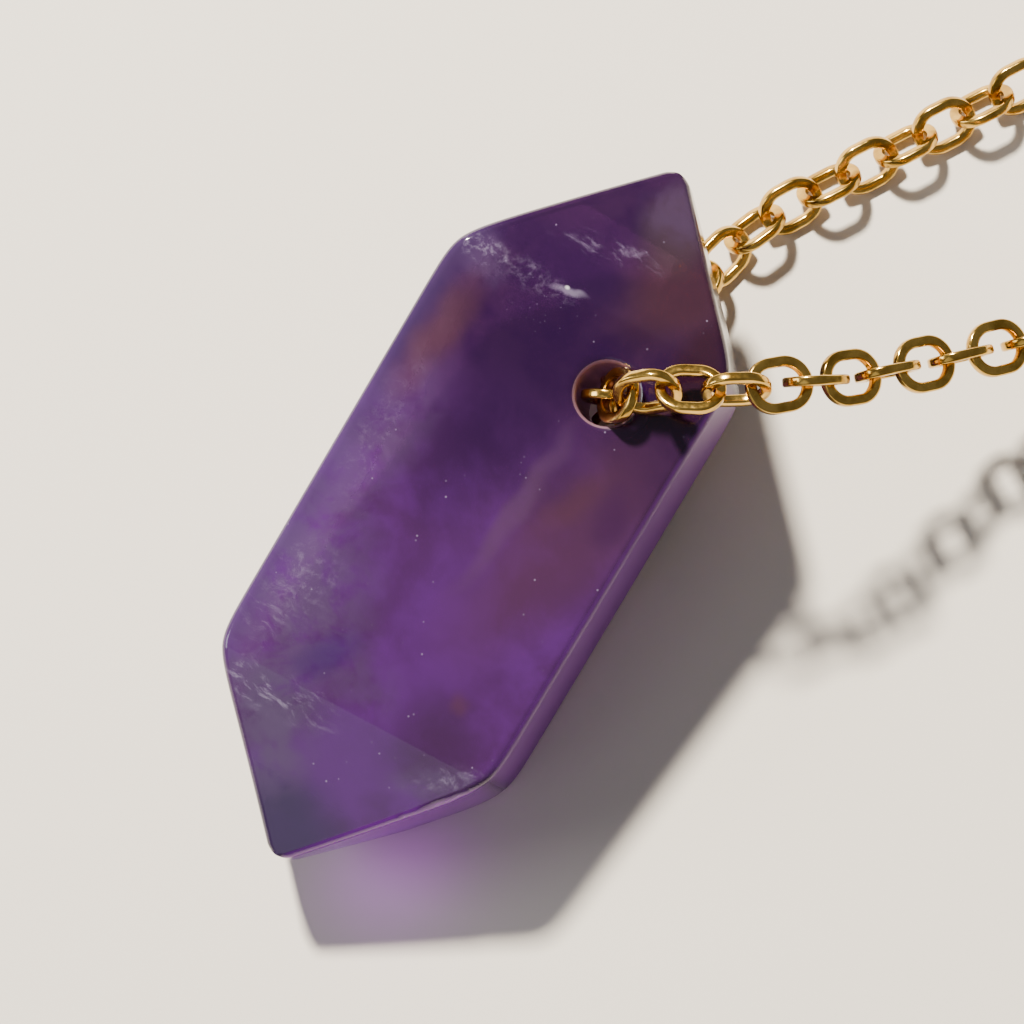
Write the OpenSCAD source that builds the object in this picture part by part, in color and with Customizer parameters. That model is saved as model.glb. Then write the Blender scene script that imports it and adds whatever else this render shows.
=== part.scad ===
// Crystal point pendant: a drilled six-sided stone point on a flat-link cable chain,
// lying on a table as it settles by itself. Millimetres, +Z up, table top at Z = 0.

/* [Stone] */
// Length of the straight sides, from one shoulder line to the other
body_len = 20; // [18:0.5:22]
// Length of each pointed end, past its shoulder line
point_len = 7.2; // [5:0.1:8]
// Width at the lower shoulders
lower_w = 13.2; // [12:0.1:14]
// Width at the upper shoulders
upper_w = 13.4; // [12:0.1:14]
// Thickness from front face to back face
stone_t = 6.8; // [6.7:0.1:6.9]
// Rise of the shoulder lines from left to right
shoulder_rise = 0.6; // [0:0.1:1]
// Fall of each front end facet, from its shoulder line to the tip
front_fall = 2; // [1:0.1:3]
// Rise of each back end facet, from its edge to the tip
back_rise = 3.5; // [2:0.1:4]
// Share of each pointed end that the flat back still covers
back_cover = 0.45; // [0.1:0.05:0.6]
// Depth that the softened edges are cut back
edge_cut = 0.17; // [0.05:0.01:0.3]
// Depth that the upright corners are cut back
corner_cut = 0.22; // [0.05:0.01:0.4]

/* [Drilled hole] */
// Diameter of the hole
hole_d = 2.7; // [2.7:0.1:3]
// How far right of the stone's centre line it lies
hole_x = 2.4; // [2.2:0.1:2.6]
// How far above the stone's middle it lies
hole_y = 7; // [6.8:0.1:7.2]
// Depth of the flare that softens each mouth
flare = 0.3; // [0.1:0.05:0.4]

/* [Chain] */
// Outer length of a link
link_len = 3; // [2.95:0.01:3.05]
// Outer width of a link
link_w = 2.4; // [2.3:0.01:2.4]
// Thickness of the square wire
wire = 0.42; // [0.38:0.01:0.42]
// Longest step from link to link
pitch = 1.92; // [1.88:0.01:1.94]

/* [Clasp] */
// Diameter of the clasp ring along the middle of its wire
ring_d = 5.2; // [5:0.1:6]
// Thickness of the ring's wire
ring_wire = 0.9; // [0.7:0.05:0.9]
// Diameter of the clasp's eye along the middle of its wire
eye_d = 2.4; // [2.2:0.1:2.6]
// Thickness of the eye's wire
eye_wire = 0.6; // [0.5:0.05:0.7]

/* [Pose on the table] */
// How far the chain beneath tips the stone's upper end up
tilt = 7.6; // [7.5:0.1:8]
// Heading of the stone's upper tip, from the loop's long axis
stone_heading = 39.1; // [37:0.1:41]
// Distance from the stone's middle to the clasp
loop_reach = 195; // [170:1:200]
// Heading at which each strand runs out to the round end
spread = 17; // [15:1:20]

/* [Hidden] */
$fn = 48;

// Stone outline, in the stone's own frame: x to the right, y to the upper tip, z out of the front
half_t = stone_t / 2;
tip_y = body_len / 2 + point_len;
outline = [
  [0, tip_y],
  [-upper_w / 2, body_len / 2 - shoulder_rise / 2],
  [-lower_w / 2, -body_len / 2 - shoulder_rise / 2],
  [0, -tip_y],
  [lower_w / 2, -body_len / 2 + shoulder_rise / 2],
  [upper_w / 2, body_len / 2 + shoulder_rise / 2]
];

// A plane is [outward normal, distance from the stone's middle]
function unit(v) = v / norm(v);
function lift(p, z) = [p.x, p.y, z];
function plane_of(a, b, c) =
  let (n = unit(cross(b - a, c - a))) [n, n * a];
function wall(a, b) =
  let (n = unit([b.y - a.y, a.x - b.x, 0])) [n, n * lift(a, 0)];
walls = [for (i = [0:5]) wall(outline[i], outline[(i + 1) % 6])];
front = [[0, 0, 1], half_t];
back = [[0, 0, -1], half_t];

// Front end facets start at the shoulder lines, back ones part of the way to the tip
function front_end(tip, left, right) =
  plane_of(lift(left, half_t), lift(right, half_t), lift(tip, half_t - front_fall));
back_half = body_len / 2 + back_cover * point_len;
function back_end(end) =
  plane_of(
    [end, end * back_half, -half_t],
    [-end, end * back_half, -half_t],
    [0, end * tip_y, back_rise - half_t]
  );
front_ends = [
  front_end(outline[0], outline[1], outline[5]),
  front_end(outline[3], outline[4], outline[2])
];
back_ends = [back_end(1), back_end(-1)];

// A soft edge is a plane half-way between two faces, cut back from where they meet
function soft(p, q, depth) =
  let (n = p[0] + q[0]) [unit(n), (p[1] + q[1]) / norm(n) - depth];
upper_walls = [walls[0], walls[5]];
side_walls = [walls[1], walls[4]];
lower_walls = [walls[2], walls[3]];
soft_edges = concat(
  [for (w = upper_walls, f = [front_ends[0], back_ends[0], back]) soft(w, f, edge_cut)],
  [for (w = lower_walls, f = [front_ends[1], back_ends[1], back]) soft(w, f, edge_cut)],
  [for (w = side_walls, f = [front, back]) soft(w, f, edge_cut)],
  [for (i = [0:5]) soft(walls[i], walls[(i + 1) % 6], corner_cut)]
);
stone_planes = concat(walls, [front, back], front_ends, back_ends, soft_edges);

// Rotation by a roll about the way ahead, then a rise above level, then a heading
function turn(heading, rise, roll) =
  [[cos(heading), -sin(heading), 0], [sin(heading), cos(heading), 0], [0, 0, 1]]
  * [[cos(rise), 0, -sin(rise)], [0, 1, 0], [sin(rise), 0, cos(rise)]]
  * [[1, 0, 0], [0, cos(roll), -sin(roll)], [0, sin(roll), cos(roll)]];
function ahead(m) = [m[0][0], m[1][0], m[2][0]];

// The stone rests on the lower edge of its flat back, and its upper end on the chain
stone_turn = turn(stone_heading - 90, 0, tilt);
stone_z = back_half * sin(tilt) + half_t * cos(tilt);

// Links at the hole, in the stone's frame, in order outwards from the hole's middle
// heading, rise, roll, step to the next link
front_rows = [
  [36, 90, 12, 1.93],
  [25, 90, -90.3, 1.78],
  [18.9, 56.2, -0.1, 1.84],
  [38, 18.8, 52.7, 1.78],
  [28.1, -4.4, -29.5, 1.95],
  [33.2, -10.3, 68.6, 1.86],
  [43.5, -24.2, 1.4, 1.9],
  [39.3, -44.4, 98.6, 1.83]
];
back_rows = [
  [94, -90, 122, 1.91],
  [90, -78, 0, 1.51],
  [96, -38, 96, 1.82]
];
chain_start = [hole_x, hole_y, -0.8];
function turned(rows) = [for (r = rows) stone_turn * turn(r[0], r[1], r[2])];

// Joints are where one link meets the next. A row's links carry on from the last joint
function joints_along(rows, turns) =
  [for (i = 0, q = stone_turn * chain_start + [0, 0, stone_z]; i <= len(turns);
    q = i < len(turns) ? q + rows[i][3] * ahead(turns[i]) : q, i = i + 1) q];
front_turns = turned(front_rows);
back_turns = turned(back_rows);
front_joints = joints_along(front_rows, front_turns);
back_joints = joints_along(back_rows, back_turns);

// Height of a chain's middle over the table where its links lean by the given angle
lie_gap = 0.015;
function lie(lean) =
  let (s = abs(sin(lean)), c = abs(cos(lean)))
  (link_w * max(s, c) + wire * min(s, c)) / 2 + lie_gap;

// Points of an arc on the table from heading h0 to heading h1
arc_step = 3;
function arc_move(r, h0, h1) =
  let (side = h1 > h0 ? 1 : -1)
  side * r * [sin(h1) - sin(h0), cos(h0) - cos(h1), 0];
function arc_points(start, r, h0, h1) =
  let (n = ceil(abs(h1 - h0) / arc_step))
  [for (i = [1:n]) start + arc_move(r, h0, h0 + (h1 - h0) * i / n)];
function level(heading) = [cos(heading), sin(heading), 0];

// The last stretch: a slow bend out, a straight run, and the round end to the clasp.
// The run's length and the end's radius are those at which it ends where it should.
spread_bend = 120;
function last_stretch(start, h0, h1, finish, h2) =
  let (
    spread_out = start + arc_move(spread_bend, h0, h1),
    a = level(h1),
    b = arc_move(1, h1, h2),
    gap = finish - spread_out,
    det = a.x * b.y - a.y * b.x,
    run = (gap.x * b.y - gap.y * b.x) / det,
    r = (a.x * gap.y - a.y * gap.x) / det,
    turn_in = spread_out + run * a
  )
  concat(arc_points(start, spread_bend, h0, h1), [turn_in], arc_points(turn_in, r, h1, h2));

// Length along a route at each of its points
function lengths(route) =
  [for (i = 0, s = 0; i < len(route);
    i = i + 1, s = i < len(route) ? s + norm(route[i] - route[i - 1]) : s) s];
function at(route, s_at, s) =
  [for (k = [0:2]) lookup(s, [for (i = [0:len(route) - 1]) [s_at[i], route[i][k]]])];

// Clasp: the last link of each strand holds it, with a little play
play = 0.15;
clasp_z = 1.15;
inner_half = link_len / 2 - wire;
ring_reach = (ring_d - ring_wire) / 2;
eye_y = (ring_d + eye_d) / 2 + ring_wire / 2;
eye_reach = eye_y + (eye_d - eye_wire) / 2;
end_slack = inner_half - pitch / 2 - play;
front_finish = [loop_reach, -ring_reach - end_slack, lie(45)];
back_finish = [loop_reach, eye_reach + end_slack, lie(45)];

// Front strand: hangs off the stone's edge, lands on the table and runs out
hang = [-5, -33];
landing = [33, -0.3];
landing_heading = 4;
landed = 4;
hang_reach = 4;
landing_reach = 3;
function bezier(p, t) =
  p[0] * pow(1 - t, 3) + p[1] * 3 * t * pow(1 - t, 2) + p[2] * 3 * t * t * (1 - t) + p[3] * pow(t, 3);
front_from = front_joints[len(front_joints) - 1];
front_land = [landing.x, landing.y, lie(45)];
front_out = front_land + landed * level(landing_heading);
front_bend = [
  front_from,
  front_from + hang_reach * ahead(turn(hang.x, hang.y, 0)),
  front_land - landing_reach * level(landing_heading),
  front_land
];
front_route = concat(
  [for (i = [0:24]) bezier(front_bend, i / 24)],
  [front_out],
  last_stretch(front_out, landing_heading, -spread, front_finish, 90)
);

// Back strand: lies under the stone, then bends to run out beside the front one
under_heading = 44;
out_heading = 8;
under_run = 2.6;
under_bend = 13;
out_run = 22;
back_from = back_joints[len(back_joints) - 1];
back_turn_in = [back_from.x, back_from.y, lie(45)] + under_run * level(under_heading);
back_turn_out = back_turn_in + arc_move(under_bend, under_heading, out_heading);
back_out = back_turn_out + out_run * level(out_heading);
back_route = concat(
  [back_from, back_turn_in],
  arc_points(back_turn_in, under_bend, under_heading, out_heading),
  [back_out],
  last_stretch(back_out, out_heading, spread, back_finish, -90)
);

// Lean of the links about the way ahead, by distance along a route, up to the lean at
// which they lie. Every second link leans square to it, and the last link stands upright.
front_lean = [[0, 101], [12, 104], [22, 135]];
back_lean = [[0, 75], [7, 45]];
upright_from = 16;

// A placed link is its middle and its turn
function near_links(joints, turns) =
  [for (i = [0:len(turns) - 1]) [(joints[i] + joints[i + 1]) / 2, turns[i]]];
function far_links(route, leans) =
  let (
    s_at = lengths(route),
    total = s_at[len(route) - 1],
    n = ceil(total / pitch),
    lying = leans[len(leans) - 1][1],
    last_lean = n % 2 == 1 ? 2 * lying - 90 : 90,
    table = concat(leans, [[total - upright_from, lying], [total, last_lean]]),
    joints = [for (i = [0:n]) let (s = total * i / n, p = at(route, s_at, s))
      [p.x, p.y, max(p.z, lie(lookup(s, table)))]]
  )
  [for (i = [0:n - 1]) let (
      v = joints[i + 1] - joints[i],
      lean = lookup(total * (i + 0.5) / n, table)
    ) [(joints[i] + joints[i + 1]) / 2,
      turn(atan2(v.y, v.x), asin(v.z / norm(v)), lean - 90 * ((i + 1) % 2))]];
front_links = concat(near_links(front_joints, front_turns), far_links(front_route, front_lean));
back_links = concat(near_links(back_joints, back_turns), far_links(back_route, back_lean));

// The origin is under the middle of the whole loop's box
function column(links, k) = [for (l = links) l[0][k]];
stone_left = (stone_turn * [0, -tip_y, half_t - front_fall]).x;
clasp_right = loop_reach + (ring_d + ring_wire) / 2;
middle = [
  (stone_left + clasp_right) / 2,
  (max(column(back_links, 1)) + min(column(front_links, 1))) / 2,
  0
];

// A block that fills the inner side of a plane, larger than the stone
far = 80;
module within(plane) {
  n = plane[0];
  rotate([0, acos(n.z), atan2(n.y, n.x)])
    translate([-far / 2, -far / 2, plane[1] - far]) cube(far);
}

// Puts its children in the stone's place, from the stone's own frame
module in_stone_place() {
  translate([0, 0, stone_z] - middle)
    rotate([0, 0, stone_heading - 90]) rotate([tilt, 0, 0]) children();
}

// Straight hole with a flared mouth at each face
module drill() {
  translate([hole_x, hole_y, 0]) {
    cylinder(h = 2 * stone_t, d = hole_d, center = true);
    for (side = [0, 1]) mirror([0, 0, side]) translate([0, 0, half_t - flare])
      cylinder(h = 2 * flare, d1 = hole_d, d2 = hole_d + 4 * flare);
  }
}

module crystal_point() color([0.36, 0.16, 0.55]) in_stone_place() difference() {
  intersection_for(p = stone_planes) within(p);
  drill();
}

// Flat outline with round ends
module stadium(length, width) {
  square([length - width, width], center = true);
  for (side = [-1, 1]) translate([side * (length - width) / 2, 0]) circle(d = width);
}

module link() linear_extrude(height = wire, center = true) difference() {
  stadium(link_len, link_w);
  stadium(link_len - 2 * wire, link_w - 2 * wire);
}

module strand(links) color([0.83, 0.62, 0.25]) for (l = links)
  let (p = l[0] - middle, m = l[1])
  multmatrix([
    [m[0][0], m[0][1], m[0][2], p.x],
    [m[1][0], m[1][1], m[1][2], p.y],
    [m[2][0], m[2][1], m[2][2], p.z],
    [0, 0, 0, 1]
  ]) link();
module chain_front() strand(front_links);
module chain_back() strand(back_links);

module wire_ring(d, thick) rotate_extrude() translate([d / 2, 0]) circle(d = thick);
module clasp() color([0.83, 0.62, 0.25]) translate([loop_reach, 0, clasp_z] - middle) {
  wire_ring(ring_d, ring_wire);
  translate([0, eye_y, 0]) wire_ring(eye_d, eye_wire);
}

crystal_point();
chain_front();
chain_back();
clasp();
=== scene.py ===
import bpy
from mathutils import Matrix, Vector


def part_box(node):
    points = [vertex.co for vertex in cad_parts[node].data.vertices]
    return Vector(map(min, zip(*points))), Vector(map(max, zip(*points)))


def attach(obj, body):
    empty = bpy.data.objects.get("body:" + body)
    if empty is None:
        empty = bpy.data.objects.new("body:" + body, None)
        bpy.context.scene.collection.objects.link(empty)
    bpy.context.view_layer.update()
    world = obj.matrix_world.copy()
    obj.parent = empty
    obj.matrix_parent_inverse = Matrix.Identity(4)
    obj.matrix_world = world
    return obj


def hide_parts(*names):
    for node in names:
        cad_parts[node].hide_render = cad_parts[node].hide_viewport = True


bl_info = {
    "name": "Crystal Point Pendant",
    "version": (1, 0, 0),
    "blender": (4, 5, 0),
    "location": "View3D > Sidebar > Crystal point",
    "description": "A drilled six-sided stone point on a flat-link cable chain, lying on a table",
    "category": "Object",
}

import bpy
import numpy as np
from mathutils import Matrix, Vector

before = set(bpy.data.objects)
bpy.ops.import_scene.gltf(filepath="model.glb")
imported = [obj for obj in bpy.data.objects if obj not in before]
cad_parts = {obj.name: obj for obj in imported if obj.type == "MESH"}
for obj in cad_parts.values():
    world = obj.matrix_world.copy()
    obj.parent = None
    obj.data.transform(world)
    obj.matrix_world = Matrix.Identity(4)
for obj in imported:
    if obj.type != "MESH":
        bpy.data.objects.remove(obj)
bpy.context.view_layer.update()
MM = 0.001

# The stone's own frame has x to the right, y to the upper tip and z out of the front, in millimetres. The
# heading is that of its y axis, in degrees from the row's x axis, and the tilt is how far that axis rises.
STONE_MIDDLE = np.array([-92.3378, -7.2525, 5.1212])
STONE_HEADING = 39.1
STONE_TILT = 7.6
SHOULDER = 10.0
TIP = 17.2
POINT_LENGTH = TIP - SHOULDER
UPPER_HALF = 6.7
LOWER_HALF = 6.6
MEAN_HALF = (UPPER_HALF + LOWER_HALF) / 2
ENDS = ((1.0, UPPER_HALF), (-1.0, LOWER_HALF))
SHOULDER_SKEW = 0.3
HALF_THICK = 3.4

# How far the front falls from each shoulder to the tip, where the back's end facets begin, and how far the
# back rises from there to the tip
FRONT_FALL = 2.0
BACK_EDGE = 13.24
BACK_RISE = 3.5

HOLE_X = 2.4
HOLE_Y = 7.0
HOLE_RADIUS = 1.35
MOUTH_RADIUS = 0.22
WELD_DISTANCE = 0.002

# The links, in millimetres: half the straight part of the wire's path, outer width, thickness through the
# flat, and the x in the row's frame up to which they have many faces
LINK_STRAIGHT = 0.3
LINK_WIDTH = 2.4
LINK_THICK = 0.42
CLOSE_TO_STONE = -62.0

# Each zone of colour in the stone is an ellipsoid with its middle at this height and with this half depth.
# The tables of zones give middle, half sizes, turn in degrees and share, and some a colour or a pattern.
ZONE_HEIGHT = 1.0
ZONE_DEPTH = 6.0

FACET_WEIGHT = 60
FLOOR_HALF = 1500.0

# The glow lamp's place in the stone's frame, then the camera's place and axes in the row's frame
GLOW_PLACE = np.array([3.65, -14.6, -0.5])
CAMERA_PLACE = np.array([-100.414, -61.535, 247.204])
CAMERA_RIGHT = np.array([0.9411, -0.3359, -0.03867])
CAMERA_UP = np.array([0.33602, 0.91637, 0.21761])
CAMERA_BACK = np.array([-0.03766, -0.21779, 0.97527])


def stone_axes():
    """Columns are the stone's x, y and z axes in the row's frame: tipped up about x, then turned about z."""
    turn = Matrix.Rotation(np.radians(STONE_HEADING - 90.0), 3, "Z")
    tip_up = Matrix.Rotation(np.radians(STONE_TILT), 3, "X")
    return np.array(turn @ tip_up)


# Sizes and colours that a user would change


def colour_setting(name, description, default):
    return bpy.props.FloatVectorProperty(
        name=name, description=description, subtype="COLOR", size=3, default=default, min=0.0, max=1.0
    )


def size_setting(name, description, default, low, high):
    return bpy.props.FloatProperty(name=name, description=description, default=default, min=low, max=high)


class StoneSettings(bpy.types.PropertyGroup):
    edge: size_setting("Edge radius", "Radius of the softened edges, in millimetres", 0.4, 0.05, 0.6)
    nose: size_setting(
        "Tip radius", "Radius of each point seen from the front, in millimetres", 0.92, 0.2, 1.0
    )
    shoulder: size_setting(
        "Shoulder blend", "How widely the sides blend into the points, in millimetres", 0.42, 0.02, 0.6
    )
    deep: colour_setting(
        "Deep violet", "Colour of the clear, dark heart of the stone", (0.022, 0.003, 0.043)
    )
    mid: colour_setting("Violet", "Main colour of the stone", (0.07, 0.018, 0.102))
    cloud: colour_setting("Cloud", "Colour of the lavender clouding", (0.095, 0.055, 0.138))
    plum: colour_setting("Plum", "Colour of the brownish plum streaks", (0.085, 0.03, 0.065))
    bright: colour_setting("Bright violet", "Colour of the clear bright patches", (0.098, 0.022, 0.17))
    veil: colour_setting("Veil", "Colour of the white veils and specks", (0.36, 0.3, 0.46))
    # The glow is painted light: the violet light that comes through the right walls, painted into their
    # colour
    glow: colour_setting("Glow", "Colour of the walls that light comes through", (0.19, 0.01, 0.36))
    bore: colour_setting("Bore", "Colour of the drilled wall", (0.32, 0.17, 0.23))
    rust: colour_setting("Rust", "Colour of the small orange-brown patches", (0.1, 0.04, 0.04))


class ChainSettings(bpy.types.PropertyGroup):
    wire: size_setting("Wire", "Width of the wire in the plane of a link, in millimetres", 0.46, 0.3, 0.5)
    softness: size_setting("Wire corner", "Radius of the wire's corners, in millimetres", 0.11, 0.02, 0.2)
    gold: colour_setting("Gold", "Colour of the gold plate", (0.8, 0.5, 0.12))
    worn: colour_setting("Dull gold", "Colour of the plate where it is dull", (0.42, 0.23, 0.035))


class ClaspSettings(bpy.types.PropertyGroup):
    ring: size_setting(
        "Ring", "Diameter of the ring along the middle of its wire, in millimetres", 5.2, 4.0, 7.0
    )
    ring_wire: size_setting("Ring wire", "Thickness of the ring, in millimetres", 0.9, 0.5, 1.2)
    eye: size_setting(
        "Eye", "Diameter of the eye along the middle of its wire, in millimetres", 2.4, 2.0, 3.0
    )
    eye_wire: size_setting("Eye wire", "Thickness of the eye's wire, in millimetres", 0.6, 0.4, 0.8)


class StageSettings(bpy.types.PropertyGroup):
    floor: colour_setting("Floor", "Colour of the floor", (0.76, 0.71, 0.63))
    lens: size_setting("Lens", "Focal length of the camera, in millimetres", 205.0, 50.0, 300.0)


# Arrays to meshes


def grid_faces(rows, columns, closed_rows=False, closed_columns=True):
    """Quads between the neighbours of a grid of points, numbered row by row."""
    i = np.arange(rows if closed_rows else rows - 1)[:, None]
    j = np.arange(columns if closed_columns else columns - 1)[None, :]
    ii, jj = (i + 1) % rows, (j + 1) % columns
    corners = (i * columns + j, i * columns + jj, ii * columns + jj, ii * columns + j)
    return np.stack(np.broadcast_arrays(*corners), -1).reshape(-1, 4)


def piece_from(name, points, faces):
    """A mesh object from an array of points in millimetres and an array of quads."""
    mesh = bpy.data.meshes.new(name)
    mesh.vertices.add(len(points))
    mesh.vertices.foreach_set("co", (points * MM).astype(np.float32).ravel())
    mesh.loops.add(faces.size)
    mesh.loops.foreach_set("vertex_index", faces.astype(np.int32).ravel())
    mesh.polygons.add(len(faces))
    mesh.polygons.foreach_set("loop_start", np.arange(0, faces.size, 4, dtype=np.int32))
    mesh.polygons.foreach_set("use_smooth", np.full(len(faces), True))
    mesh.update(calc_edges=True)
    mesh.validate()
    obj = bpy.data.objects.new(name, mesh)
    bpy.context.scene.collection.objects.link(obj)
    return obj


def merge_doubles(obj):
    """Closes seams and poles, where points of the grid lie on each other."""
    weld = obj.modifiers.new("close_seams", "WELD")
    weld.merge_threshold = WELD_DISTANCE * MM
    apply_modifiers(obj)


def apply_modifiers(obj):
    """Bakes the modifiers into the mesh."""
    graph = bpy.context.evaluated_depsgraph_get()
    graph.update()
    mesh = bpy.data.meshes.new_from_object(obj.evaluated_get(graph))
    mesh.name = obj.name
    obj.modifiers.clear()
    obj.data = mesh


def dress(obj, material, node_names):
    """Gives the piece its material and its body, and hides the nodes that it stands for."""
    obj.data.materials.clear()
    obj.data.materials.append(material)
    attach(obj, "root")
    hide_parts(*node_names)


# Stone shape


def soft_least(values, blend):
    """The least of several arrays, rounded where two of them cross: minus the logarithm of the sum of their
    falling exponentials."""
    stack = np.stack(np.broadcast_arrays(*values))
    low = stack.min(0)
    return low - blend * np.log(np.exp(-(stack - low) / blend).sum(0))


def crowded(low, high, count, centres, width, weights):
    """Points from low to high that lie closer together near each centre: equal steps of the integral of
    one plus a bell at each centre."""
    fine = np.linspace(low, high, 20001)
    density = np.ones_like(fine)
    for centre, weight in zip(centres, weights):
        density += weight * np.exp(-(((fine - centre) / width) ** 2))
    total = np.concatenate([[0.0], np.cumsum((density[1:] + density[:-1]) / 2)])
    return np.interp(np.linspace(0.0, total[-1], count), total, fine)


def half_width(t, nose, blend):
    """Half the stone's width at station t: straight sides, straight points and a round nose. The nose is the
    circle that touches both sides of the point."""
    side = MEAN_HALF + (UPPER_HALF - LOWER_HALF) / 2 * t / SHOULDER
    upper = (TIP - t) * UPPER_HALF / POINT_LENGTH
    lower = (TIP + t) * LOWER_HALF / POINT_LENGTH
    width = soft_least([side, upper, lower], blend)
    for end, half in ENDS:
        angle = np.arctan(half / POINT_LENGTH)
        centre = TIP - nose / np.sin(angle)
        along = end * t - centre
        round_part = np.sqrt(np.clip(nose**2 - along**2, 0.0, None))
        width = np.where(along > nose * np.sin(angle), round_part, width)
    return width


def front_height(x, y):
    """Height of the front over the middle: the flat face and the two end facets, which fall from their
    shoulder lines to the tips."""
    blend = 0.018
    heights = [np.full_like(x, HALF_THICK)]
    for end, half in ENDS:
        skew = end * SHOULDER_SKEW / half
        heights.append(HALF_THICK - (end * y - SHOULDER - skew * x) * FRONT_FALL / POINT_LENGTH)
    return soft_least(heights, blend)


def back_height(y):
    """Height of the back under the middle: the flat back and the two steeper end facets."""
    blend = 0.05
    slope = BACK_RISE / (TIP - BACK_EDGE)
    flat = np.full_like(y, HALF_THICK)
    return -soft_least([flat, HALF_THICK - (np.abs(y) - BACK_EDGE) * slope], blend)


def stations(nose):
    """Places along the stone from tip to tip, closer together at each shoulder line, at each back edge and
    near the tips."""
    high, low = (TIP - nose / np.sin(np.arctan(half / POINT_LENGTH)) + nose for _, half in ENDS)
    inset = 0.15
    lines = [inset - low, -BACK_EDGE, -SHOULDER, SHOULDER, BACK_EDGE, high - inset]
    t = crowded(-low, high, 230, lines, 0.5, [14, 5, 14, 14, 5, 14])
    # The last stations before each tip follow its round end
    ends = (1 - np.cos(np.linspace(0.0, np.pi / 2, 9))) * 0.12
    return np.unique(np.concatenate([t, high - ends, -low + ends]))


def stone_points(settings):
    """The stone's surface in its own frame, a row of points round it at each station, skewed as the shoulder
    lines are. The outline of a row is a box whose corners are quarter circles."""
    t = stations(settings.nose)[:, None]
    # Shares across the front and the back, closer together at the sides, then the angles round a corner and
    # the shares down a wall
    flat = np.sin(np.linspace(-1.0, 1.0, 33) * np.pi / 2)
    flat = np.concatenate([[-1.0, -0.985], flat[2:-2], [0.985, 1.0]])
    arc = np.linspace(0.0, np.pi / 2, 8)[1:-1]
    wall = np.array([0.0, 0.03, 0.12, 0.3, 0.5, 0.7, 0.88, 0.97, 1.0])

    # Round the front, one wall, the back and the other wall: share across, outward and drop parts of the
    # corner, and share down the wall
    level, upright, corner = np.zeros_like(flat), np.ones_like(wall), np.ones_like(arc)
    rim = np.concatenate([corner, upright, corner])
    across = np.concatenate([flat, rim, flat[::-1], -rim])
    out = np.tile(np.concatenate([level, np.sin(arc), upright, np.cos(arc)]), 2)
    drop = np.tile(np.concatenate([level, 1 - np.cos(arc), upright, 1 - np.sin(arc)]), 2)
    front_half = np.concatenate([level, 0 * corner, wall, corner])
    back_half = np.concatenate([level + 1, corner, wall[::-1], 0 * corner])
    down = np.concatenate([front_half, back_half])

    width = half_width(t, settings.nose, settings.shoulder)
    radius = np.minimum(settings.edge, width * 0.999)
    x = across * (width - radius) + np.sign(across) * out * radius
    reach = np.clip((TIP - np.abs(t)) / POINT_LENGTH, 0.0, 1.0)
    y = t + SHOULDER_SKEW * reach * x / MEAN_HALF
    top = front_height(x, y)
    bottom = back_height(y)
    fall = drop * np.minimum(radius, (top - bottom) * 0.45)
    z = (top - fall) * (1 - down) + (bottom + fall) * down

    # A few tiny nicks in the front edge by the lower right shoulder
    depth, middle, spread = 0.09, -11.6, 0.9
    bite = np.sin(31.0 * t) * np.sin(17.3 * t + 1.0) + 0.5 * np.sin(53.0 * t + 2.0)
    nick = depth * np.clip(bite, 0.0, 1.0) * np.exp(-(((t - middle) / spread) ** 2))
    edge = np.zeros(len(across))
    edge[len(flat) : len(flat) + len(arc)] = np.sin(2 * arc)
    return np.stack([x - nick * edge, y + 0.5 * nick * edge, z - nick * edge], -1)


def drill_points(count=96):
    """The drilled hole's surface, a profile turned about the hole's axis: a straight bore that widens at
    each mouth, along a circle and then a cone past the face, and is closed at both ends."""
    # The mouth's circle ends at this steepness in degrees, then the cone goes out and up past the face
    steepest, flare, past = 72.0, 0.2, 0.3
    theta = np.radians(np.linspace(0.0, steepest, 8))
    mouth_out = HOLE_RADIUS + MOUTH_RADIUS * (1 - np.cos(theta))
    mouth_up = HALF_THICK - MOUTH_RADIUS + MOUTH_RADIUS * np.sin(theta)
    far_out = mouth_out[-1] + flare * np.tan(theta[-1])
    far_up = HALF_THICK + past
    bore_up = np.linspace(-HALF_THICK + MOUTH_RADIUS, HALF_THICK - MOUTH_RADIUS, 9)[1:-1]
    bore_out = np.full(len(bore_up), HOLE_RADIUS)
    radius = np.concatenate([[0.0, far_out], mouth_out[::-1], bore_out, mouth_out, [far_out, 0.0]])
    height = np.concatenate([[-far_up] * 2, -mouth_up[::-1], bore_up, mouth_up, [far_up] * 2])
    angle = np.linspace(0.0, 2 * np.pi, count, endpoint=False)[None, :]
    r, h = radius[:, None], height[:, None]
    return np.stack([HOLE_X + r * np.cos(angle), HOLE_Y + r * np.sin(angle), h + 0 * angle], -1)


def in_stone_place(points):
    """From the stone's own frame to the row's frame, in millimetres."""
    return points @ stone_axes().T + STONE_MIDDLE


# Chain shape


def link_rings(path_count, corner_steps, wire, softness):
    """One link about the origin, long way along x and flat in z: a rounded square profile carried round a
    stadium."""
    bend = (LINK_WIDTH - wire) / 2
    angle = np.linspace(-np.pi / 2, np.pi / 2, path_count // 2)
    outward = np.stack([np.cos(angle), np.sin(angle)], -1)
    right = np.stack([LINK_STRAIGHT + bend * np.cos(angle), bend * np.sin(angle)], -1)
    path = np.concatenate([right, -right])
    outward = np.concatenate([outward, -outward])
    corner = np.linspace(0.0, np.pi / 2, corner_steps)
    flat = wire / 2 - softness
    quarter = np.stack([flat + softness * np.cos(corner), flat + softness * np.sin(corner)], -1)
    quarter_turn = np.array([[0, 1], [-1, 0]])
    profile = np.concatenate([quarter @ np.linalg.matrix_power(quarter_turn, k) for k in range(4)])
    plane = path[:, None, :] + outward[:, None, :] * profile[None, :, :1]
    z = np.broadcast_to(profile[None, :, 1:] * LINK_THICK / wire, plane.shape[:2] + (1,))
    return np.concatenate([plane, z], -1)


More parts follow.
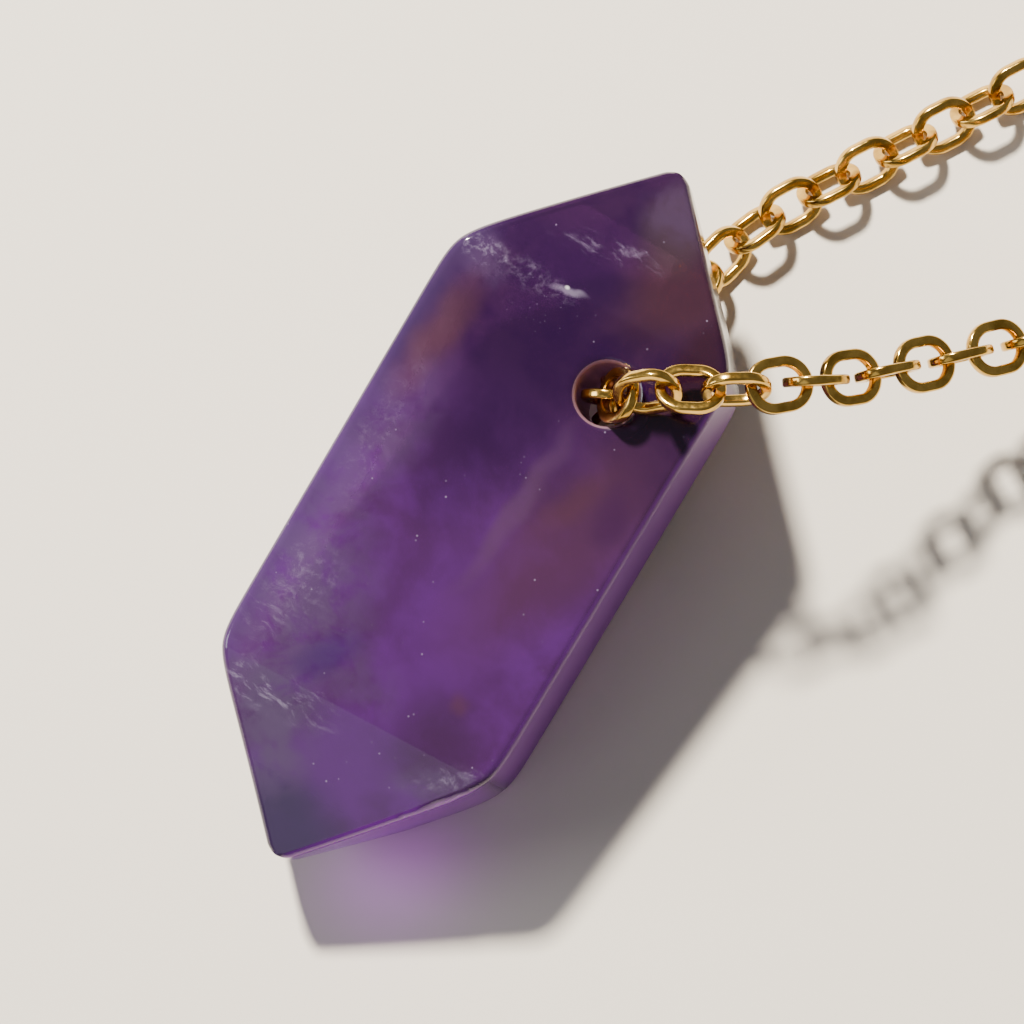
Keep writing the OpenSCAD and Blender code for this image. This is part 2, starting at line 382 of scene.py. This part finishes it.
def link_places(node):
    """Middle and turn of each link of a CAD strand. Points that lie together or share a face get one label,
    the middle is the mean of a label's points, and the turn is the three main axes of their spread: the
    longest along the link, the shortest through its flat."""
    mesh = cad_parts[node].data
    co = np.empty(len(mesh.vertices) * 3, np.float32)
    mesh.vertices.foreach_get("co", co)
    co = co.reshape(-1, 3).astype(float) / MM
    mesh.calc_loop_triangles()
    tri = np.empty(len(mesh.loop_triangles) * 3, np.int32)
    mesh.loop_triangles.foreach_get("vertices", tri)
    tri = tri.reshape(-1, 3)
    _, first, same = np.unique(np.round(co, 4), axis=0, return_index=True, return_inverse=True)
    same = same.ravel()
    label = first[same].copy()
    while True:
        before = label.copy()
        least = label[tri].min(1)
        np.minimum.at(label, tri.ravel(), np.repeat(least, 3))
        by_place = np.full(len(first), len(co))
        np.minimum.at(by_place, same, label)
        label = by_place[same]
        if np.array_equal(label, before):
            break
    single = co[first]
    _, group, counts = np.unique(label[first], return_inverse=True, return_counts=True)
    group = group.ravel()
    middle = np.stack([np.bincount(group, single[:, k]) / counts for k in range(3)], -1)
    off = single - middle[group]
    spread = np.stack(
        [np.bincount(group, off[:, a] * off[:, b]) / counts for a in range(3) for b in range(3)], -1
    ).reshape(-1, 3, 3)
    _, axes = np.linalg.eigh(spread)
    axes = axes[:, :, ::-1]
    # A left-handed set of axes would turn the link inside out
    axes[:, :, 2] *= np.sign(np.linalg.det(axes))[:, None]
    return middle, axes


def placed_links(rings, middle, axes):
    """Every link's points, turned by its axes and moved to its middle, in one array, and its quads."""
    rows, columns = rings.shape[:2]
    flat = rings.reshape(-1, 3)
    points = np.einsum("nij,pj->npi", axes, flat) + middle[:, None, :]
    quads = grid_faces(rows, columns, closed_rows=True)[:, ::-1]
    faces = quads[None] + (np.arange(len(middle)) * len(flat))[:, None, None]
    return points.reshape(-1, 3), faces.reshape(-1, 4)


# Clasp shape


def ring_points(diameter, thick, centre, around, through):
    """A circle of the wire's thickness carried round a level circle about the centre."""
    u = np.linspace(0.0, 2 * np.pi, around, endpoint=False)[:, None]
    v = np.linspace(0.0, 2 * np.pi, through, endpoint=False)[None, :]
    r = diameter / 2 + thick / 2 * np.cos(v)
    return np.stack([r * np.cos(u), r * np.sin(u), thick / 2 * np.sin(v) + 0 * u], -1) + centre


# Materials


class Nodes:
    """Short ways to add and link shader nodes."""

    def __init__(self, name):
        self.material = bpy.data.materials.new(name)
        self.material.use_nodes = True
        self.tree = self.material.node_tree
        self.tree.nodes.clear()
        self.output = self.add("ShaderNodeOutputMaterial")

    def add(self, kind, **values):
        node = self.tree.nodes.new(kind)
        for key, value in values.items():
            setattr(node, key, value)
        return node

    def put(self, socket, value):
        """Links another node's output to the socket, or sets a plain value."""
        if isinstance(value, bpy.types.NodeSocket):
            self.tree.links.new(value, socket)
        else:
            socket.default_value = value

    def coords(self):
        return self.add("ShaderNodeTexCoord").outputs["Object"]

    def axis(self, vector, name):
        node = self.add("ShaderNodeSeparateXYZ")
        self.put(node.inputs[0], vector)
        return node.outputs[name]

    def vector_math(self, operation, *values):
        node = self.add("ShaderNodeVectorMath", operation=operation)
        for socket, value in zip(node.inputs, values):
            self.put(socket, value)
        return node.outputs["Value" if operation in ("LENGTH", "DOT_PRODUCT") else "Vector"]

    def mapped(self, vector, location, turn, scale):
        """The place in a frame that is scaled, turned and moved."""
        node = self.add("ShaderNodeMapping", vector_type="TEXTURE")
        self.put(node.inputs["Vector"], vector)
        node.inputs["Location"].default_value = location
        node.inputs["Rotation"].default_value = turn
        node.inputs["Scale"].default_value = scale
        return node.outputs[0]

    def noise(self, vector, scale, detail=3.0, rough=0.5):
        node = self.add("ShaderNodeTexNoise")
        self.put(node.inputs["Vector"], vector)
        node.inputs["Scale"].default_value = scale
        node.inputs["Detail"].default_value = detail
        node.inputs["Roughness"].default_value = rough
        return node.outputs["Fac"]

    def stirred(self, vector, scale, reach):
        """The place moved by up to half of reach each way, by a smooth noise."""
        warp = self.noise(vector, scale, 2.0, 0.5).node.outputs["Color"]
        shift = self.vector_math("MULTIPLY_ADD", warp, (reach,) * 3, (-reach / 2,) * 3)
        return self.vector_math("ADD", vector, shift)

    def math(self, operation, a, b):
        node = self.add("ShaderNodeMath", operation=operation)
        self.put(node.inputs[0], a)
        self.put(node.inputs[1], b)
        return node.outputs[0]

    def fade(self, value, low, high, to_low=0.0, to_high=1.0):
        """A smooth step from to_low to to_high while the value goes from low to high."""
        node = self.add("ShaderNodeMapRange", interpolation_type="SMOOTHSTEP")
        self.put(node.inputs["Value"], value)
        node.inputs["From Min"].default_value = low
        node.inputs["From Max"].default_value = high
        node.inputs["To Min"].default_value = to_low
        node.inputs["To Max"].default_value = to_high
        return node.outputs["Result"]

    def mix(self, share, a, b):
        """Colour a, with this share of colour b."""
        node = self.add("ShaderNodeMix", data_type="RGBA")
        self.put(node.inputs[0], share)
        for socket, colour in ((node.inputs[6], a), (node.inputs[7], b)):
            self.put(socket, colour if isinstance(colour, bpy.types.NodeSocket) else (*colour, 1.0))
        return node.outputs[2]

    def zone(self, vector, centre, size, turn, soft):
        """One in the middle of a soft ellipse seen from the front, zero outside it."""
        spin = (0.0, 0.0, np.radians(turn))
        place = self.mapped(vector, (*centre, ZONE_HEIGHT), spin, (*size, ZONE_DEPTH))
        out = self.vector_math("LENGTH", place)
        return self.fade(out, 1.0 - soft, 1.0 + soft, 1.0, 0.0)

    def bump(self, height, distance, strength, normal=None):
        node = self.add("ShaderNodeBump")
        self.put(node.inputs["Height"], height)
        node.inputs["Distance"].default_value = distance
        node.inputs["Strength"].default_value = strength
        if normal is not None:
            self.put(node.inputs["Normal"], normal)
        return node.outputs[0]

    def surface(self, **values):
        shader = self.add("ShaderNodeBsdfPrincipled")
        for key, value in values.items():
            self.put(shader.inputs[key.replace("_", " ")], value)
        self.put(self.output.inputs["Surface"], shader.outputs[0])


def body_colour(n, flow, settings):
    """Broad colour of the stone: brighter at its lower end, darker at its upper one, with soft patches."""
    mottle = n.fade(n.noise(flow, 0.3, 5.0, 0.6), 0.36, 0.66)
    low = n.mix(mottle, settings.mid, settings.bright)
    high = n.mix(mottle, settings.deep, (0.04, 0.01, 0.055))
    colour = n.mix(n.fade(n.axis(flow, "Y"), -1.5, 7.5), low, high)
    for centre, size, turn, share, tint in (
        ((-1.0, 6.0), (2.8, 4.5), -8.0, 0.6, settings.deep),
        ((-2.2, 11.6), (1.8, 1.6), 30.0, 0.5, settings.deep),
        ((1.6, -4.6), (2.4, 3.8), 15.0, 0.6, settings.bright),
        ((0.4, -12.2), (2.2, 1.9), 30.0, 0.8, settings.bright),
        ((4.0, 0.6), (2.2, 5.8), -14.0, 0.6, settings.plum),
        ((2.8, 12.0), (2.4, 2.6), 20.0, 0.7, (0.06, 0.022, 0.03)),
        ((5.3, 9.4), (1.0, 2.4), 0.0, 0.7, (0.03, 0.008, 0.014)),
        ((3.6, -9.0), (1.9, 1.9), 0.0, 0.6, (0.048, 0.018, 0.058)),
        ((-1.0, 11.2), (1.2, 0.7), 0.0, 0.5, settings.deep),
        ((-1.9, 1.0), (1.8, 2.6), 0.0, 0.35, settings.deep),
        ((1.7, 1.1), (0.5, 3.6), -7.5, 0.45, (0.115, 0.055, 0.12)),
        ((4.9, 2.5), (0.7, 1.3), 0.0, 0.5, (0.045, 0.01, 0.065)),
        ((1.2, 14.6), (1.6, 1.8), 0.0, 0.7, (0.06, 0.036, 0.05)),
        ((-0.2, -15.4), (3.0, 1.9), 0.0, 0.8, (0.035, 0.024, 0.07)),
    ):
        colour = n.mix(n.math("MULTIPLY", n.zone(flow, centre, size, turn, 0.5), share), colour, tint)
    return colour


def clouded(n, flow, colour, cloud):
    """Adds the lavender clouding, mostly down the left side."""
    patchy = n.fade(n.noise(flow, 0.85, 5.0, 0.62), 0.3, 0.6)
    for centre, size, turn, share in (
        ((-5.3, -1.0), (1.6, 6.0), -3.0, 0.55),
        ((-4.0, -7.0), (2.6, 3.4), 8.0, 0.8),
        ((-3.0, -12.0), (1.8, 3.0), 35.0, 0.9),
        ((4.7, -10.6), (1.7, 0.8), 40.0, 0.6),
        ((-0.8, -9.0), (2.2, 1.2), 0.0, 0.4),
        ((0.8, 15.2), (1.4, 1.2), 0.0, 0.4),
        ((-5.0, 9.6), (1.2, 0.8), 0.0, 0.5),
    ):
        inside = n.math("MULTIPLY", n.zone(flow, centre, size, turn, 0.55), patchy)
        colour = n.mix(n.math("MULTIPLY", inside, share), colour, cloud)
    return colour


def patched(n, ripple, colour, rust):
    """Adds small orange-brown patches and one dark blue one."""
    for centre, size, turn, share, tint in (
        ((-5.1, 5.6), (0.8, 2.6), -6.0, 0.5, rust),
        ((3.5, 2.2), (0.6, 1.8), -25.0, 0.3, rust),
        ((3.7, -7.4), (0.4, 0.4), 0.0, 0.4, rust),
        ((-2.2, -8.4), (0.7, 1.4), -30.0, 0.5, (0.04, 0.01, 0.115)),
    ):
        patch = n.math("MULTIPLY", n.zone(ripple, centre, size, turn, 0.7), share)
        colour = n.mix(patch, colour, tint)
    return colour


def veiled(n, ripple, colour, veil):
    """Adds white veils: fine streaks that follow a healed crack, and frost, and the solid arc of a painted
    highlight.
    """
    wisps = n.mapped(ripple, (0, 0, 0), (0, 0, np.radians(-8.0)), (1.3, 0.4, 1.6))
    thread = n.fade(n.noise(wisps, 1.0, 6.0, 0.72), 0.5, 0.74)
    frost = n.fade(n.noise(ripple, 2.4, 6.0, 0.75), 0.46, 0.72)
    for centre, size, turn, share, pattern in (
        ((-5.3, 9.7), (0.8, 0.5), 0.0, 0.6, frost),
        ((-3.4, 9.7), (2.3, 0.5), 0.0, 0.35, frost),
        # A painted highlight: this solid arc goes round the painted glint
        ((-1.2, 10.0), (0.7, 0.12), 12.0, 0.5, 1.0),
        ((-0.8, 12.4), (2.0, 0.5), 10.0, 0.5, thread),
        ((-5.2, -8.2), (1.0, 1.6), 0.0, 0.25, thread),
        ((-4.0, -11.0), (2.0, 0.7), 0.0, 0.95, thread),
        ((-1.8, -10.6), (1.4, 0.8), 0.0, 0.5, thread),
        ((-4.4, -6.2), (1.3, 1.6), 0.0, 0.25, frost),
        ((-5.0, 0.8), (0.9, 3.2), 0.0, 0.12, frost),
        ((5.0, -10.2), (1.6, 0.4), 40.0, 0.45, frost),
    ):
        white = n.math("MULTIPLY", n.zone(ripple, centre, size, turn, 0.6), pattern)
        colour = n.mix(n.math("MULTIPLY", white, share), colour, veil)
    return colour


def specked(n, local, colour, veil):
    """Adds tiny bright specks: a few all over and many by the white veil, and a painted highlight: one
    near-white glint.
    """
    thin = n.fade(n.noise(local, 0.5, 2.0), 0.5, 0.62)
    dusty = n.zone(local, (-2.4, 8.9), (2.2, 1.2), 0.0, 0.6)
    for scale, where, share in ((1.7, thin, 0.6), (4.5, dusty, 0.7)):
        specks = n.add("ShaderNodeTexVoronoi")
        n.put(specks.inputs["Vector"], local)
        specks.inputs["Scale"].default_value = scale
        dots = n.fade(specks.outputs["Distance"], 0.04, 0.11, 1.0, 0.0)
        colour = n.mix(n.math("MULTIPLY", n.math("MULTIPLY", dots, where), share), colour, veil)
    # A painted highlight: one small near-white glint on the upper front
    painted_glint = n.zone(local, (-1.35, 10.05), (0.09, 0.07), 0.0, 0.8)
    return n.mix(painted_glint, colour, (0.9, 0.9, 0.95))


def painted_glow_walls(n, local, colour, clear, glow):
    """Adds a painted glow: the light that comes through the walls on the right, most on the lower point's,
    painted into their colour. These walls are also less clear."""
    for way, reach, share, less in (
        ((0.751, -0.661, 0.0), 11.37, 0.95, 0.42),
        ((1.0, -0.005, 0.0), MEAN_HALF, 0.6, 0.2),
    ):
        wall = n.fade(n.vector_math("DOT_PRODUCT", local, way), reach - 0.3, reach - 0.05)
        colour = n.mix(n.math("MULTIPLY", wall, share), colour, glow)
        clear = n.math("SUBTRACT", clear, n.math("MULTIPLY", wall, less))
    return colour, clear


def amethyst(settings):
    """Cloudy violet quartz: a clear dark heart, lavender clouds, plum and rust streaks, fine white veils and
    specks, with a painted glow on the right walls and a painted highlight on the upper front, all laid out
    in the stone's own frame in millimetres."""
    n = Nodes("cloudy_violet_quartz")
    euler = Matrix(stone_axes()).to_euler()
    local = n.mapped(n.coords(), tuple(STONE_MIDDLE * MM), tuple(euler), (MM, MM, MM))
    flow = n.stirred(local, 0.22, 2.6)
    ripple = n.stirred(local, 0.8, 0.8)

    colour = body_colour(n, flow, settings)
    colour = clouded(n, flow, colour, settings.cloud)
    # The left side is greyer and darker at its edge
    across = n.axis(local, "X")
    colour = n.mix(n.fade(across, -6.9, -4.5, 0.7, 0.0), colour, (0.04, 0.024, 0.075))
    colour = patched(n, ripple, colour, settings.rust)
    colour = veiled(n, ripple, colour, settings.veil)
    colour = specked(n, local, colour, settings.veil)
    clear = n.fade(across, -6.7, -3.7, 0.12, 0.5)
    # Painted glow: the light coming through the right walls, painted into their colour
    colour, clear = painted_glow_walls(n, local, colour, clear, settings.glow)

    # The drilled wall is matt and pale, and the right edge is matt
    hole = n.mapped(local, (HOLE_X, HOLE_Y, 0.0), (0.0, 0.0, 0.0), (1.0, 1.0, 1000.0))
    bore = n.fade(n.vector_math("LENGTH", hole), HOLE_RADIUS + 0.07, HOLE_RADIUS + 0.15, 1.0, 0.0)
    colour = n.mix(n.math("MULTIPLY", bore, 0.8), colour, settings.bore)
    edge = n.fade(across, 6.2, 6.6)
    rough = n.fade(n.math("MAXIMUM", bore, edge), 0.0, 1.0, 0.11, 0.45)

    wave = n.noise(local, 0.4, 3.0, 0.5)
    pits = n.fade(n.noise(local, 7.0, 3.0, 0.7), 0.3, 0.42)
    normal = n.bump(wave, 0.00003, 0.4)
    normal = n.bump(pits, 0.000006, 0.15, normal)
    n.surface(Base_Color=colour, Roughness=rough, IOR=1.5, Normal=normal, Transmission_Weight=clear)
    return n.material


def gold_plate(name, gold, dull, scale=1.0):
    """Polished plate on brass: faint colour change, smears in the gloss and a slightly uneven surface."""
    n = Nodes(name)
    place = n.coords()
    broad = n.noise(place, 900.0 * scale, 3.0, 0.55)
    fine = n.noise(place, 5200.0 * scale, 4.0, 0.6)
    colour = n.mix(n.fade(broad, 0.35, 0.75), gold, dull)
    rough = n.fade(fine, 0.3, 0.75, 0.12, 0.22)
    normal = n.bump(broad, 0.00002, 0.25)
    normal = n.bump(fine, 0.000003, 0.15, normal)
    n.surface(Base_Color=colour, Metallic=1.0, Roughness=rough, Normal=normal)
    return n.material


def floor_paint(colour):
    """Pale matt floor with a very fine grain."""
    n = Nodes("pale_floor")
    place = n.coords()
    dark = tuple(c * 0.97 for c in colour)
    mottled = n.mix(n.noise(place, 30.0, 3.0), colour, dark)
    grain = n.bump(n.noise(place, 4000.0, 2.0), 0.00002, 0.15)
    n.surface(Base_Color=mottled, Roughness=0.6, Normal=grain)
    return n.material


# Operators


class MakeStone(bpy.types.Operator):
    """Builds the drilled stone point"""

    bl_idname = "crystal_point.make_stone"
    bl_label = "Stone"

    def execute(self, context):
        settings = context.scene.crystal_stone
        stone = self.grid_piece("stone_point", stone_points(settings), flipped=True)
        drill = self.grid_piece("drill", drill_points())
        cut = stone.modifiers.new("drilled_hole", "BOOLEAN")
        cut.operation = "DIFFERENCE"
        cut.solver = "EXACT"
        cut.object = drill
        apply_modifiers(stone)
        bpy.data.objects.remove(drill)
        stone.modifiers.new("facet_shading", "WEIGHTED_NORMAL").weight = FACET_WEIGHT
        dress(stone, amethyst(settings), ["crystal_point"])
        return {"FINISHED"}

    def grid_piece(self, name, points, flipped=False):
        """A closed piece from a grid of points in the stone's own frame."""
        faces = grid_faces(*points.shape[:2])
        if flipped:
            faces = faces[:, ::-1]
        piece = piece_from(name, in_stone_place(points.reshape(-1, 3)), faces)
        merge_doubles(piece)
        return piece


class MakeChain(bpy.types.Operator):
    """Builds both strands of links, each link where the frame has it"""

    bl_idname = "crystal_point.make_chain"
    bl_label = "Chain"

    def execute(self, context):
        settings = context.scene.crystal_chain
        plate = gold_plate("gold_plate", settings.gold, settings.worn)
        near = link_rings(40, 4, settings.wire, settings.softness)
        # Links far from the stone have few faces
        far = link_rings(16, 1, settings.wire, 0.0)
        for node in ("chain_front", "chain_back"):
            middle, axes = link_places(node)
            close = middle[:, 0] < CLOSE_TO_STONE
            near_points, near_faces = placed_links(near, middle[close], axes[close])
            far_points, far_faces = placed_links(far, middle[~close], axes[~close])
            points = np.concatenate([near_points, far_points])
            faces = np.concatenate([near_faces, far_faces + len(near_points)])
            strand = piece_from(node + "_links", points, faces)
            strand.modifiers.new("wire_shading", "WEIGHTED_NORMAL").weight = FACET_WEIGHT
            dress(strand, plate, [node])
        return {"FINISHED"}


class MakeClasp(bpy.types.Operator):
    """Builds the plain ring and eye at the far end of the loop"""

    bl_idname = "crystal_point.make_clasp"
    bl_label = "Clasp"

    def execute(self, context):
        settings = context.scene.crystal_clasp
        gold = context.scene.crystal_chain
        low, high = (np.array(corner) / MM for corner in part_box("clasp"))
        reach = (settings.ring + settings.ring_wire) / 2
        centre = np.array([(low[0] + high[0]) / 2, low[1] + reach, (low[2] + high[2]) / 2])
        ring = ring_points(settings.ring, settings.ring_wire, centre, 72, 20)
        up = (settings.ring + settings.eye + settings.ring_wire) / 2
        eye = ring_points(settings.eye, settings.eye_wire, centre + np.array([0.0, up, 0.0]), 48, 16)
        points = np.concatenate([ring.reshape(-1, 3), eye.reshape(-1, 3)])
        ring_faces = grid_faces(*ring.shape[:2], closed_rows=True)
        eye_faces = grid_faces(*eye.shape[:2], closed_rows=True) + ring[..., 0].size
        faces = np.concatenate([ring_faces, eye_faces])[:, ::-1]
        clasp = piece_from("ring_clasp", points, faces)
        dress(clasp, gold_plate("gold_plate_clasp", gold.gold, gold.worn, 0.7), ["clasp"])
        return {"FINISHED"}


class MakeStage(bpy.types.Operator):
    """Adds the floor, the lights, the world and the camera"""

    bl_idname = "crystal_point.make_stage"
    bl_label = "Stage"

    def execute(self, context):
        settings = context.scene.crystal_stage
        self.add_floor(settings)
        self.add_lights()
        world = bpy.data.worlds.new("soft_room")
        world.use_nodes = True
        background = world.node_tree.nodes["Background"]
        background.inputs["Color"].default_value = (0.9, 0.9, 0.92, 1.0)
        background.inputs["Strength"].default_value = 0.2
        context.scene.world = world
        self.add_camera(settings)
        return {"FINISHED"}

    def add_floor(self, settings):
        u = np.linspace(-FLOOR_HALF, FLOOR_HALF, 5)
        x, y = np.meshgrid(u, u, indexing="ij")
        points = np.stack([x, y, np.zeros_like(x)], -1).reshape(-1, 3)
        floor = piece_from("floor", points, grid_faces(5, 5, closed_columns=False)[:, ::-1])
        floor.data.materials.append(floor_paint(tuple(settings.floor)))

    def add_lights(self):
        """Three lamps round the stone, and a tiny one at its lower end for the light that comes through."""
        # Place from the stone's middle and side in metres, power in watts
        for name, place, size, power, colour in (
            ("key", (-0.03, 0.38, 0.46), 0.06, 14.0, (1.0, 0.92, 0.8)),
            ("fill", (-0.6, 0.25, 0.35), 0.3, 2.0, (0.94, 0.96, 1.0)),
            ("sheen", (-0.41, -0.2, 0.57), 0.4, 0.35, (0.85, 0.9, 1.0)),
        ):
            lamp = self.light(name, size, power, colour)
            lamp.location = Vector(STONE_MIDDLE * MM) + Vector(place)
            lamp.rotation_euler = Vector(place).to_track_quat("Z", "Y").to_euler()
        glow = self.light("glow", 0.005, 0.00007, (0.5, 0.02, 0.8))
        glow.location = Vector(in_stone_place(GLOW_PLACE) * MM)
        glow.data.shape = "DISK"
        glow.visible_camera = False
        glow.visible_glossy = False

    def light(self, name, size, power, colour):
        """An area lamp that faces down from the origin until it is placed."""
        lamp = bpy.data.lights.new(name, "AREA")
        lamp.size = size
        lamp.energy = power
        lamp.color = colour
        obj = bpy.data.objects.new(name, lamp)
        bpy.context.scene.collection.objects.link(obj)
        return obj

    def add_camera(self, settings):
        lens = bpy.data.cameras.new("camera")
        lens.lens = settings.lens
        lens.sensor_width = 36.0
        lens.clip_start = 0.01
        camera = bpy.data.objects.new("camera", lens)
        place = np.eye(4)
        place[:3, :3] = np.stack([CAMERA_RIGHT, CAMERA_UP, CAMERA_BACK], 1)
        place[:3, 3] = CAMERA_PLACE * MM
        camera.matrix_world = Matrix(place)
        bpy.context.scene.collection.objects.link(camera)
        bpy.context.scene.camera = camera


class CrystalPanel(bpy.types.Panel):
    """Lists the steps in the sidebar"""

    bl_idname = "VIEW3D_PT_crystal_point"
    bl_label = "Crystal point pendant"
    bl_space_type = "VIEW_3D"
    bl_region_type = "UI"
    bl_category = "Crystal point"

    def draw(self, context):
        for name, _, operator in STEPS:
            settings = getattr(context.scene, name)
            column = self.layout.column(align=True)
            for key in settings.__annotations__:
                column.prop(settings, key)
            column.operator(operator.bl_idname)


# Name of each group of settings on the scene, its class, and the operator that has its button
STEPS = (
    ("crystal_stone", StoneSettings, MakeStone),
    ("crystal_chain", ChainSettings, MakeChain),
    ("crystal_clasp", ClaspSettings, MakeClasp),
    ("crystal_stage", StageSettings, MakeStage),
)


def register():
    for name, settings, operator in STEPS:
        bpy.utils.register_class(settings)
        bpy.utils.register_class(operator)
        setattr(bpy.types.Scene, name, bpy.props.PointerProperty(type=settings))
    bpy.utils.register_class(CrystalPanel)


def unregister():
    bpy.utils.unregister_class(CrystalPanel)
    for name, settings, operator in reversed(STEPS):
        delattr(bpy.types.Scene, name)
        bpy.utils.unregister_class(operator)
        bpy.utils.unregister_class(settings)


def main():
    register()
    bpy.ops.crystal_point.make_stage()
    bpy.ops.crystal_point.make_stone()
    bpy.ops.crystal_point.make_chain()
    bpy.ops.crystal_point.make_clasp()


if __name__ == "__main__":
    main()
